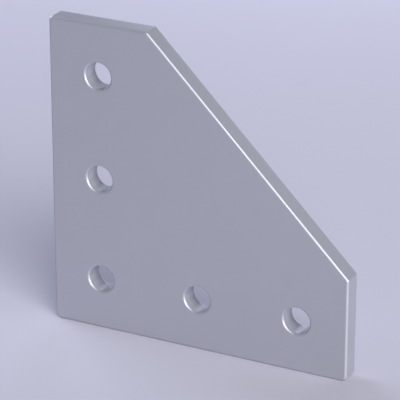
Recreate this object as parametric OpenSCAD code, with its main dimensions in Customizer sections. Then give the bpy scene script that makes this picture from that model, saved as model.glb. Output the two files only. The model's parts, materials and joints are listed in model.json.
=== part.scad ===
// Corner joining plate for slotted framing bar: a flat plate with two legs at a right angle,
// a slanted edge between their ends, and a row of screw holes along each leg.
// It stands on its bottom edge. X runs along that edge, Z up, and -Y out of the front face.

/* [Plate] */
// Length of the bottom edge
plate_w = 60; // [50:10:120]
// Height of the upright edge
plate_h = 60; // [50:10:120]
// Thickness of the plate
plate_t = 4; // [2:0.5:8]
// Width of each leg at its far end
leg_w = 20; // [16:0.5:30]
// Radius of the square corners, seen from the front
corner_r = 0.8; // [0.7:0.1:4]
// Radius that breaks the edges between the rim and the faces
edge_r = 0.5; // [0.1:0.05:0.6]

/* [Screw holes] */
// Diameter of each hole, a clearance hole for an M5 screw
hole_d = 5.1; // [3:0.1:8]
// Distance of the end holes' centres from the plate's edges
hole_inset = 10; // [7:0.5:14]
// Holes along each leg, counting the shared one in the corner
leg_holes = 3; // [2:1:4]
// Radius that breaks each hole's rims
rim_r = 0.45; // [0.1:0.05:0.6]

/* [Hidden] */
$fn = 64;
// How far a hole's cutter stands out of the faces
overcut = 1;
// How far the middle of the plate reaches into the rim round it
lap = (corner_r - edge_r) / 2;

// Centres of the square corners, anticlockwise from the lower left
corners = [
    [corner_r, corner_r],
    [plate_w - corner_r, corner_r],
    [plate_w - corner_r, plate_h - corner_r],
    [corner_r, plate_h - corner_r],
];

// The slanted edge's outward direction, and a length that passes right across the plate
slant = atan2(plate_w - leg_w, plate_h - leg_w);
reach = plate_w + plate_h;

// Places of the holes along a leg of the given length
function hole_row(length) =
    [for (k = [0 : leg_holes - 1]) hole_inset + k * (length - 2 * hole_inset) / (leg_holes - 1)];

// Section of the plate from some depth inside it out to its rim, with both edges broken
module rim_section(depth) {
    intersection() {
        square([depth, plate_t]);
        union() {
            square([depth - edge_r, plate_t]);
            translate([0, edge_r])
                square([depth, plate_t - 2 * edge_r]);
            for (level = [edge_r, plate_t - edge_r])
                translate([depth - edge_r, level])
                    circle(edge_r);
        }
    }
}

// A rectangular plate, lying on its back: the middle, then the rim along each side and round
// each corner
module rectangle() {
    translate([corner_r - lap, corner_r - lap])
        cube([plate_w - 2 * (corner_r - lap), plate_h - 2 * (corner_r - lap), plate_t]);
    for (i = [0 : 3]) {
        from = corners[i];
        to = corners[(i + 1) % 4];
        facing = 90 * (i - 1);
        translate(to)
            rotate([90, 0, facing])
                linear_extrude(norm(to - from))
                    rim_section(corner_r);
        translate(to)
            rotate(facing)
                rotate_extrude(angle = 90)
                    rim_section(corner_r);
    }
}

// All that lies inside the slanted edge
module slant_side() {
    translate([plate_w, leg_w])
        rotate([90, 0, slant])
            translate([-reach, 0, -reach])
                linear_extrude(2 * reach)
                    rim_section(reach);
}

// What is cut away for one hole: its wall, and the broken rims at both faces
module hole() {
    flare_r = hole_d / 2 + rim_r;
    rotate_extrude()
        difference() {
            translate([0, -overcut])
                square([flare_r, plate_t + 2 * overcut]);
            translate([hole_d / 2, rim_r])
                square([2 * rim_r, plate_t - 2 * rim_r]);
            for (level = [rim_r, plate_t - rim_r])
                translate([flare_r, level])
                    circle(rim_r);
        }
}

module corner_plate() {
    color("#9c9daf")
        translate([-plate_w / 2, plate_t / 2, 0])
            rotate([90, 0, 0])
                difference() {
                    intersection() {
                        rectangle();
                        slant_side();
                    }
                    for (x = hole_row(plate_w))
                        translate([x, hole_inset])
                            hole();
                    for (k = [1 : leg_holes - 1])
                        translate([hole_inset, hole_row(plate_h)[k]])
                            hole();
                }
}

corner_plate();
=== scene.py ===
import json
import math
import bpy
import numpy as np
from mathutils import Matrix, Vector


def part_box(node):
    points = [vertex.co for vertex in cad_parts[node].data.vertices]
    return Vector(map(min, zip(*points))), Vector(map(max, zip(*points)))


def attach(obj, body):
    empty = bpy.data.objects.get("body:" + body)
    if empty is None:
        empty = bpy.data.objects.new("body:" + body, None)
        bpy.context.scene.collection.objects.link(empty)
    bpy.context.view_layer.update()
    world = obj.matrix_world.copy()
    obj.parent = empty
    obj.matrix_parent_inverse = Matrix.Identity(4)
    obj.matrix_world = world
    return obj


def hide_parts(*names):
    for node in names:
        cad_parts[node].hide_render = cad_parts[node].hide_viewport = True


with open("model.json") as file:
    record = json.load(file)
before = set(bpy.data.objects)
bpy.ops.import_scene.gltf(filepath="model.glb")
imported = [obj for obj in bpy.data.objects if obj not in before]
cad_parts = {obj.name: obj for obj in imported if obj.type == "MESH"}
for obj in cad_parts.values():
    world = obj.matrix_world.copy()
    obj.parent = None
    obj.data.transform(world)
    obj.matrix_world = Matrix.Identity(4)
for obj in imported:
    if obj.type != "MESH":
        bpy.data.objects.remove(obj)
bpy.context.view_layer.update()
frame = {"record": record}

scene = bpy.context.scene
scene.view_settings.view_transform = "Standard"
mm = 0.001


# an sRGB hex colour as linear RGBA
def linear(hexColour):
    srgb = np.array([int(hexColour[k:k + 2], 16) for k in (1, 3, 5)]) / 255
    light = np.where(srgb <= 0.04045, srgb / 12.92, ((srgb + 0.055) / 1.055) ** 2.4)
    return (*light.tolist(), 1.0)


# adds one node: settings are its properties, inputs are socket values or the sockets to link from
def addNode(tree, kind, inputs, **settings):
    node = tree.nodes.new(kind)
    for name, value in settings.items():
        setattr(node, name, value)
    for socket, value in inputs.items():
        if isinstance(value, bpy.types.NodeSocket):
            tree.links.new(value, node.inputs[socket])
        else:
            node.inputs[socket].default_value = value
    return node


# The plate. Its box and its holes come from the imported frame, the rest is as in the part's source.
low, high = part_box("corner_plate")
bores = [m for m in frame["record"]["mounts"] if m["kind"] == "bore"]
plate = dict(
    left=low.x,
    right=high.x,
    bottom=low.z,
    top=high.z,
    half=(high.y - low.y) / 2,  # half its thickness
    leg=20 * mm,  # width of each leg at its far end
    squareRadius=0.8 * mm,  # the three square corners, seen from the front
    bluntRadius=0.9 * mm,  # the two blunt corners, eased so that their rims meet softly
    edgeRadius=0.5 * mm,  # rounding between the rim and the faces
    rimRadius=0.45 * mm,  # rounding at each hole's rims
    holeRadius=bores[0]["dims"]["r_mm"] * mm,
    holes={m["name"]: np.array(m["pos_m"])[[0, 2]] for m in bores},
    cornerSteps=8,  # how finely the corners, sides, faces, roundings and walls are divided
    sideSteps=20,
    ringSteps=6,
    roundSteps=7,
    wallSteps=6,
)


def straight(a, b, steps):
    return np.linspace(a, b, steps + 1)


# joins stretches end to end, each but the last giving up its last point
def chain(*stretches):
    return np.concatenate([s[:-1] for s in stretches[:-1]] + [stretches[-1]])


# an arc for each corner: its outward direction turns evenly from one side's to the next side's,
# and each point lies one radius out from the corner's centre
def cornerArcs(corners, radii, steps):
    side = np.roll(corners, -1, 0) - corners
    outAfter = np.stack([side[:, 1], -side[:, 0]], 1) / np.linalg.norm(side, axis=1)[:, None]
    outBefore = np.roll(outAfter, 1, 0)
    reach = radii / (1 + (outAfter * outBefore).sum(1))
    centres = corners - (outBefore + outAfter) * reach[:, None]
    start = np.arctan2(outBefore[:, 1], outBefore[:, 0])
    turn = (np.arctan2(outAfter[:, 1], outAfter[:, 0]) - start) % (2 * math.pi)
    angle = start[:, None] + turn[:, None] * np.linspace(0, 1, steps + 1)
    outward = np.stack([np.cos(angle), np.sin(angle)], 2)
    return centres[:, None] + radii[:, None, None] * outward, outward


# section through an edge, from the front face to the back, as rows of: how far the point lies in
# from the wall, its depth, and its normal out of the wall and along the depth
def edgeSection(half, radius, roundSteps, wallSteps):
    a = np.linspace(0, math.pi / 2, roundSteps + 1)
    inset = radius * (1 - np.sin(a))
    depth = radius * (1 - np.cos(a)) - half
    front = np.stack([inset, depth, np.sin(a), -np.cos(a)], 1)
    back = front[::-1] * [1, -1, 1, -1]
    return chain(front, straight(front[-1], back[0], wallSteps), back)


# a section carried along a path of (x, z) points: each point lies in from the path, against its
# outward direction, by the section's inset, and at the section's depth
def carry(section, path, out):
    inset, depth, outPart, depthPart = section.T
    plan = path[:, None] - inset[:, None] * out[:, None]
    lean = outPart[:, None] * out[:, None]
    points = np.stack([plan[..., 0], np.broadcast_to(depth, plan.shape[:2]), plan[..., 1]], 2)
    normals = np.stack([lean[..., 0], np.broadcast_to(depthPart, plan.shape[:2]), lean[..., 1]], 2)
    return points, normals


# a flat patch of (x, z) points, laid on the front face and on the back face
def onFaces(plan, half):
    patches = []
    for y in (-half, half):
        points = np.insert(plan, 1, y, 2)
        patches.append((points, np.broadcast_to([0, math.copysign(1, y), 0], points.shape)))
    return patches


# the quads of one patch, in rows and columns, turned over where they would face against its normals
def patchQuads(points, normals):
    rows, columns = points.shape[:2]
    index = np.arange(rows * columns).reshape(rows, columns)
    quads = np.stack([index[:-1, :-1], index[1:, :-1], index[1:, 1:], index[:-1, 1:]], 2)
    quads = quads.reshape(-1, 4)
    p = points.reshape(-1, 3)[quads]
    facing = np.cross(p[:, 2] - p[:, 0], p[:, 3] - p[:, 1])
    if (facing * normals.reshape(-1, 3)[quads[:, 0]]).sum() < 0:
        quads = quads[:, ::-1]
    return quads


weldGap = 1e-4 * mm  # points that round to the same step of this size are one point


# welds patches into one closed skin: points that coincide become one, and keep their patch's normal
def weld(patches, name):
    points = np.concatenate([p.reshape(-1, 3) for p, n in patches])
    normals = np.concatenate([n.reshape(-1, 3) for p, n in patches])
    starts = np.cumsum([0] + [p.shape[0] * p.shape[1] for p, n in patches])
    quads = np.concatenate([patchQuads(p, n) + s for (p, n), s in zip(patches, starts)])
    grid = np.round(points / weldGap).astype(np.int64)
    _, first, shared = np.unique(grid, axis=0, return_index=True, return_inverse=True)
    mesh = bpy.data.meshes.new(name)
    mesh.from_pydata(points[first].tolist(), [], shared.reshape(-1)[quads].tolist())
    mesh.shade_smooth()
    mesh.normals_split_custom_set_from_vertices(normals[first].tolist())
    return mesh


# the outline anticlockwise from the front, as stretches of (points, outward directions), grouped
# by the hole that they lie beside, with the slanted edge in two halves
def outline(p, cutX, cutZ):
    corners = np.array([
        (p["left"], p["bottom"]),
        (p["right"], p["bottom"]),
        (p["right"], p["bottom"] + p["leg"]),
        (p["left"] + p["leg"], p["top"]),
        (p["left"], p["top"]),
    ])
    radii = np.array([p["squareRadius"]] * 2 + [p["bluntRadius"]] * 2 + [p["squareRadius"]])
    arcs, outs = cornerArcs(corners, radii, p["cornerSteps"])
    onBottom = [np.array((x, p["bottom"])) for x in cutX]
    onLeft = [np.array((p["left"], z)) for z in cutZ]
    slantMiddle = (arcs[2, -1] + arcs[3, 0]) / 2

    def arc(k):
        return arcs[k], outs[k]

    def side(a, b, k):
        points = straight(a, b, p["sideSteps"])
        return points, np.broadcast_to(outs[k, -1], points.shape)

    return dict(
        hole_corner=[side(onLeft[0], arcs[0, 0], 4), arc(0), side(arcs[0, -1], onBottom[0], 0)],
        hole_foot_middle=[side(onBottom[0], onBottom[1], 0)],
        hole_foot_end=[
            side(onBottom[1], arcs[1, 0], 0),
            arc(1),
            side(arcs[1, -1], arcs[2, 0], 1),
            arc(2),
        ],
        slantLow=[side(arcs[2, -1], slantMiddle, 2)],
        slantHigh=[side(slantMiddle, arcs[3, 0], 2)],
        hole_upright_end=[
            arc(3),
            side(arcs[3, -1], arcs[4, 0], 3),
            arc(4),
            side(arcs[4, -1], onLeft[1], 4),
        ],
        hole_upright_middle=[side(onLeft[1], onLeft[0], 4)],
    )


def makePlate(p):
    # lines halfway between neighbouring holes cut the legs into one cell for each hole
    holes = p["holes"]
    cutX = [(holes["hole_corner"][0] + holes["hole_foot_middle"][0]) / 2,
            (holes["hole_foot_middle"][0] + holes["hole_foot_end"][0]) / 2]
    cutZ = [(holes["hole_corner"][1] + holes["hole_upright_middle"][1]) / 2,
            (holes["hole_upright_middle"][1] + holes["hole_upright_end"][1]) / 2]
    stretches = outline(p, cutX, cutZ)

    # the rim is the edge section carried round the outline, and the faces begin one radius in from it
    edge = edgeSection(p["half"], p["edgeRadius"], p["roundSteps"], p["wallSteps"])
    patches = [carry(edge, path, out) for parts in stretches.values() for path, out in parts]
    faceLine = {}
    for name, parts in stretches.items():
        faceLine[name] = chain(*[path - p["edgeRadius"] * out for path, out in parts])
    begin = {name: line[0] for name, line in faceLine.items()}

    # each cell's border: its share of the outline, then straight lines through the inner nodes
    inner = np.array([cutX[0], cutZ[0]])
    footNode = np.array([cutX[1], cutZ[0]])
    uprightNode = np.array([cutX[0], cutZ[1]])
    nodes = dict(
        hole_corner=[begin["hole_foot_middle"], inner, begin["hole_corner"]],
        hole_foot_middle=[begin["hole_foot_end"], footNode, inner, begin["hole_foot_middle"]],
        hole_foot_end=[begin["slantLow"], footNode, begin["hole_foot_end"]],
        hole_upright_end=[begin["hole_upright_middle"], uprightNode, begin["hole_upright_end"]],
        hole_upright_middle=[begin["hole_corner"], inner, uprightNode, begin["hole_upright_middle"]],
    )

    # each cell's face is straight rays from the hole's rim out to the border, and its hole is the
    # edge section carried round the same rays, facing the hole's axis
    wall = edgeSection(p["half"], p["rimRadius"], p["roundSteps"], p["wallSteps"])
    spread = np.linspace(0, 1, p["ringSteps"] + 1)[:, None]
    for name, corners in nodes.items():
        lines = [straight(a, b, p["sideSteps"]) for a, b in zip(corners, corners[1:])]
        border = chain(faceLine[name], *lines)
        ray = border - holes[name]
        ray = ray / np.linalg.norm(ray, axis=1)[:, None]
        rim = holes[name] + (p["holeRadius"] + p["rimRadius"]) * ray
        patches += onFaces(rim[:, None] + spread * (border - rim)[:, None], p["half"])
        patches.append(carry(wall, holes[name] + p["holeRadius"] * ray, -ray))

    # the web between the legs is three four-sided patches, each blended between its corners
    webMiddle = (inner + begin["slantLow"] + begin["hole_upright_end"]) / 3
    s = np.linspace(0, 1, p["sideSteps"] + 1)[:, None, None]
    t = np.linspace(0, 1, p["sideSteps"] + 1)[None, :, None]
    for a, b, c, d in (
        (inner, footNode, webMiddle, uprightNode),
        (footNode, begin["slantLow"], begin["slantHigh"], webMiddle),
        (uprightNode, webMiddle, begin["slantHigh"], begin["hole_upright_end"]),
    ):
        plan = (1 - s) * (1 - t) * a + s * (1 - t) * b + s * t * c + (1 - s) * t * d
        patches += onFaces(plan, p["half"])

    piece = bpy.data.objects.new("cornerPlate", weld(patches, "cornerPlate"))
    scene.collection.objects.link(piece)
    return piece


cornerPlate = makePlate(plate)
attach(cornerPlate, "root")
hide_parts("corner_plate")
print("plate built,", len(cornerPlate.data.polygons), "quads")


# Clear anodised aluminium, etched matt before anodising: a pale grey metal with a broad soft gloss,
# a fine even grain, faint clouding, and faint cut lines round the rim and in the holes.
aluminium = dict(
    colour="#b3b4be",
    cloudColour="#aeafb9",
    cloudMm=10,
    cloudDetail=3.0,
    cloudLow=0.3,  # the clouding's values lie mostly between these two
    cloudHigh=0.7,
    metallic=0.65,  # the oxide film scatters the rest
    roughness=0.48,
    roughnessSpread=0.03,
    grainMm=0.3,  # the real etch is nearer 0.05 mm, drawn coarser so that it shows
    grainDepthMm=0.001,
    grainDetail=2.0,
    cutLineMm=0.25,  # spacing of the cut lines, drawn coarser too
    cutLineLengthMm=15,
    cutLineDepthMm=0.001,
    cutLineDetail=2.0,
)


def makeAluminium(a):
    material = bpy.data.materials.new("clear anodised aluminium")
    material.use_nodes = True
    tree = material.node_tree
    shader = tree.nodes["Principled BSDF"]
    place = addNode(tree, "ShaderNodeTexCoord", {}).outputs["Object"]
    clouds = addNode(tree, "ShaderNodeTexNoise", {
        "Vector": place,
        "Scale": 1 / (a["cloudMm"] * mm),
        "Detail": a["cloudDetail"],
    }).outputs["Fac"]
    grain = addNode(tree, "ShaderNodeTexNoise", {
        "Vector": place,
        "Scale": 1 / (a["grainMm"] * mm),
        "Detail": a["grainDetail"],
    }).outputs["Fac"]

    # lines that change mostly with depth, so they run along the rim, ring the holes and miss the faces
    stretch = a["cutLineMm"] / a["cutLineLengthMm"]
    acrossDepth = addNode(tree, "ShaderNodeMapping", {
        "Vector": place,
        "Scale": (stretch, 1, stretch),
    })
    cutLines = addNode(tree, "ShaderNodeTexNoise", {
        "Vector": acrossDepth.outputs["Vector"],
        "Scale": 1 / (a["cutLineMm"] * mm),
        "Detail": a["cutLineDetail"],
    }).outputs["Fac"]

    # the mix node's colours are its inputs 6 and 7 and its output 2
    colour = addNode(tree, "ShaderNodeMix", {
        "Factor": clouds,
        6: linear(a["colour"]),
        7: linear(a["cloudColour"]),
    }, data_type="RGBA")
    roughness = addNode(tree, "ShaderNodeMapRange", {
        "Value": clouds,
        "From Min": a["cloudLow"],
        "From Max": a["cloudHigh"],
        "To Min": a["roughness"] - a["roughnessSpread"],
        "To Max": a["roughness"] + a["roughnessSpread"],
    })
    lineBump = addNode(tree, "ShaderNodeBump", {
        "Distance": a["cutLineDepthMm"] * mm,
        "Height": cutLines,
    })
    grainBump = addNode(tree, "ShaderNodeBump", {
        "Distance": a["grainDepthMm"] * mm,
        "Height": grain,
        "Normal": lineBump.outputs["Normal"],
    })
    tree.links.new(colour.outputs[2], shader.inputs["Base Color"])
    tree.links.new(roughness.outputs["Result"], shader.inputs["Roughness"])
    tree.links.new(grainBump.outputs["Normal"], shader.inputs["Normal"])
    shader.inputs["Metallic"].default_value = a["metallic"]
    return material


cornerPlate.data.materials.append(makeAluminium(aluminium))
print("anodised aluminium made")


# The floor: matt paper, a pale lavender grey with no gloss to speak of.
paper = dict(size=6.0, colour="#c5c4d1", roughness=0.9, gloss=0.1)


def makeFloor(p):
    half = p["size"] / 2
    mesh = bpy.data.meshes.new("floor")
    corners = [(-half, -half, 0), (half, -half, 0), (half, half, 0), (-half, half, 0)]
    mesh.from_pydata(corners, [], [(0, 1, 2, 3)])
    material = bpy.data.materials.new("matt paper")
    material.use_nodes = True
    shader = material.node_tree.nodes["Principled BSDF"]
    shader.inputs["Base Color"].default_value = linear(p["colour"])
    shader.inputs["Roughness"].default_value = p["roughness"]
    shader.inputs["Specular IOR Level"].default_value = p["gloss"]
    mesh.materials.append(material)
    floor = bpy.data.objects.new("floor", mesh)
    scene.collection.objects.link(floor)
    return floor


makeFloor(paper)
print("floor laid")


# Soft boxes round the plate's middle, white in front and a cool white at the left and behind. Azimuth
# goes round from the front to the right, distance and size are in metres, and brightness is what a
# mirror would show. Most stand about a metre off, which keeps the floor from burning out when it is
# seen from behind.
white = "#ffffff"
coolWhite = "#e9edff"
softBoxes = dict(
    keyRight=dict(azimuth=64, elevation=10.5, distance=1.1, size=0.44, brightness=19, colour=white),
    lowFront=dict(azimuth=38, elevation=10.5, distance=0.9, size=0.36, brightness=7, colour=white),
    highFront=dict(azimuth=40, elevation=44, distance=0.9, size=0.36, brightness=7.2, colour=white),
    left=dict(azimuth=272, elevation=28, distance=0.9, size=0.5, brightness=3, colour=coolWhite),
    backLeft=dict(azimuth=243, elevation=25, distance=0.9, size=0.5, brightness=5, colour=coolWhite),
    back=dict(azimuth=196, elevation=14.5, distance=0.42, size=0.17, brightness=4.4, colour=coolWhite),
    backRight=dict(azimuth=166, elevation=13, distance=0.42, size=0.17, brightness=1.6, colour=coolWhite),
)
surround = dict(colour=coolWhite, strength=0.1)
plateMiddle = Vector((0, 0, (low.z + high.z) / 2))


def towards(azimuth, elevation):
    a, e = math.radians(azimuth), math.radians(elevation)
    return Vector((math.sin(a) * math.cos(e), -math.cos(a) * math.cos(e), math.sin(e)))


# puts an object out from a point, turned to look back at it
def lookBack(item, point, azimuth, elevation, distance):
    out = towards(azimuth, elevation)
    item.location = point + out * distance
    item.rotation_euler = (-out).to_track_quat("-Z", "Y").to_euler()
    scene.collection.objects.link(item)


for name, box in softBoxes.items():
    lamp = bpy.data.lights.new(name, "AREA")
    lamp.size = box["size"]
    lamp.color = linear(box["colour"])[:3]
    lamp.energy = box["brightness"] * math.pi * box["size"] ** 2
    holder = bpy.data.objects.new(name, lamp)
    holder.visible_camera = False
    lookBack(holder, plateMiddle, box["azimuth"], box["elevation"], box["distance"])

world = bpy.data.worlds.new("surround")
world.use_nodes = True
background = world.node_tree.nodes["Background"]
background.inputs["Color"].default_value = linear(surround["colour"])
background.inputs["Strength"].default_value = surround["strength"]
scene.world = world
print("lights set:", ", ".join(softBoxes))


# The photograph's view, fitted to the plate's edges and hole centres: a long lens, from the front
# right and a little above.
photoView = dict(
    azimuth=26.98,
    elevation=22.85,
    distance=446.9 * mm,
    aim=Vector((-0.38, 0, 28.96)) * mm,
    lens=222.9,
    sensor=36,  # as wide as full-frame film, in the lens's millimetres
    nearest=10 * mm,
)
camera = bpy.data.cameras.new("photoView")
camera.lens = photoView["lens"]
camera.sensor_width = photoView["sensor"]
camera.clip_start = photoView["nearest"]
holder = bpy.data.objects.new("photoView", camera)
lookBack(holder, photoView["aim"], photoView["azimuth"], photoView["elevation"], photoView["distance"])
scene.camera = holder
print("camera placed")
